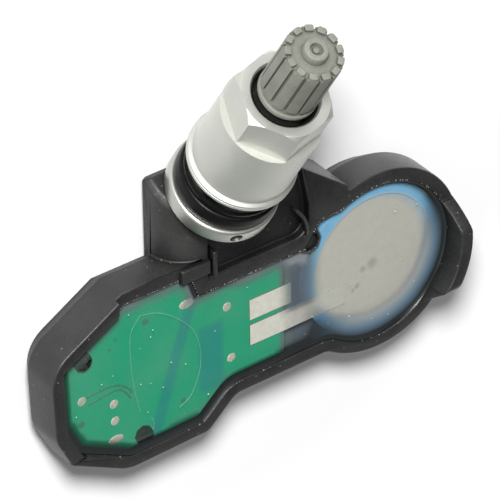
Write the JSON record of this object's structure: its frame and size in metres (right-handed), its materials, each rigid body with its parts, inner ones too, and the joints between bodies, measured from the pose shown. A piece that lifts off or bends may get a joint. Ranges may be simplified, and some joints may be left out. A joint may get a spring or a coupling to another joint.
{
  "type": "tyre pressure sensor",
  "caption": "Wheel-mounted tyre pressure sensor: a black tray with a resin-cast circuit board and coin cell, and a slanted clamp-in valve with collar nut and ribbed cap.",
  "frame": {"origin": "on the flat back face of the tray, under the axis of the coin cell", "axes": "+X along the tray from the board end to the cell end, +Y towards the valve tower, +Z out of the open, resin-filled face; the valve axis leans 33.4 degrees up from +Y towards +Z"},
  "size_m": [0.0739, 0.0781, 0.0343],
  "materials": {
    "black_nylon": "matt, finely grained moulding",
    "board_green": "green solder mask",
    "pad_tin": "tinned copper",
    "chip_black": "moulded chip body",
    "crystal_can": "drawn metal can",
    "coil_ferrite": "wound ferrite",
    "capacitor_ceramic": "fired ceramic with tinned ends",
    "cell_steel": "nickel plated cell can",
    "sleeve_blue": "shrunk film",
    "tab_nickel": "nickel strip",
    "potting_resin": "clear, slightly milky casting resin",
    "valve_aluminium": "turned and satin anodised",
    "seal_rubber": "black moulded rubber",
    "washer_black": "black hard plastic",
    "core_brass": "turned brass",
    "cap_grey": "grey moulded plastic",
    "screw_steel": "zinc plated steel"
  },
  "bodies": {
    "sensor": {"housing": "black_nylon", "circuit_board": "board_green", "test_pads": "pad_tin", "sensor_chip": "chip_black", "port_gasket": "seal_rubber", "crystal": "crystal_can", "lf_coil": "coil_ferrite", "chip_capacitors": "capacitor_ceramic", "battery_cell": "cell_steel", "battery_sleeve": "sleeve_blue", "battery_tab_top": "tab_nickel", "battery_tab_bottom": "tab_nickel", "potting": "potting_resin", "valve_stem": "valve_aluminium", "seal_grommet": "seal_rubber", "valve_core": "core_brass", "retaining_screw": "screw_steel"},
    "washer": {"thrust_washer": "washer_black"},
    "nut": {"collar_nut": "valve_aluminium", "dust_ring": "seal_rubber"},
    "cap_disc": {"cap_seal": "seal_rubber"},
    "cap": {"valve_cap": "cap_grey"},
    "pin": {"core_pin": "core_brass"}
  },
  "joints": [
    {"name": "nut_lift", "type": "slide", "parent": "sensor", "child": "washer", "axis": [0, 0.8348, 0.5505], "range_m": [0, 0.008]},
    {"name": "nut_turn", "type": "hinge", "parent": "washer", "child": "nut", "pos_m": [-0.02715, 0.03113, 0.0126], "axis": [0, 0.8348, 0.5505], "range_deg": [0, 2885]},
    {"name": "cap_lift", "type": "slide", "parent": "sensor", "child": "cap_disc", "axis": [0, 0.8348, 0.5505], "range_m": [0, 0.00555]},
    {"name": "cap_turn", "type": "hinge", "parent": "cap_disc", "child": "cap", "pos_m": [-0.02715, 0.04833, 0.02394], "axis": [0, 0.8348, 0.5505], "range_deg": [0, 2520]},
    {"name": "core_press", "type": "slide", "parent": "sensor", "child": "pin", "axis": [0, -0.8348, -0.5505], "range_m": [0, 0.0015], "stiffness_N_per_m": 200}
  ],
  "couplings": [
    {"joint": "nut_turn", "follows": "nut_lift", "rad_per_m": 6283.2},
    {"joint": "cap_turn", "follows": "cap_lift", "rad_per_m": 7913.3}
  ]
}
